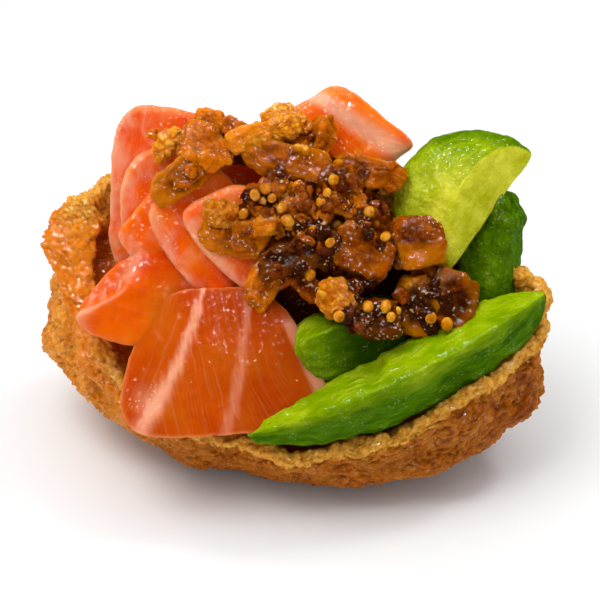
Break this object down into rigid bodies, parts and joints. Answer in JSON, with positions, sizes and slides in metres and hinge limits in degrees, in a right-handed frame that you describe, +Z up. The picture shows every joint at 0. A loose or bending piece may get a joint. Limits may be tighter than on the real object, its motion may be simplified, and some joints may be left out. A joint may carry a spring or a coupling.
{
  "type": "inari sushi",
  "caption": "Open fried tofu pouch heaped with raw salmon slices, avocado wedges and a sticky candied onion and mustard seed relish.",
  "frame": {"origin": "middle of the flat spot that the pouch rests on", "axes": "+X along the pouch's length, towards the end with the avocado; -Y is the low side of the mouth; +Z up"},
  "size_m": [0.077, 0.0457, 0.0557],
  "materials": {
    "tofu": "fried tofu skin, oily and wrinkled",
    "salmon": "raw salmon, moist, with pale fat lines",
    "avocado": "ripe avocado flesh, moist, dark green at the skin side",
    "relish": "candied onion and mustard seeds in a glossy brown glaze"
  },
  "bodies": {
    "root": {"pouch": "tofu", "salmon_drape": "salmon", "salmon_tongue": "salmon", "salmon_fan_1": "salmon", "salmon_fan_2": "salmon", "salmon_fan_3": "salmon", "salmon_fan_4": "salmon", "salmon_fan_5": "salmon", "salmon_back": "salmon", "avocado_front": "avocado", "avocado_middle": "avocado", "avocado_top": "avocado", "avocado_side": "avocado", "relish": "relish"}
  },
  "joints": []
}
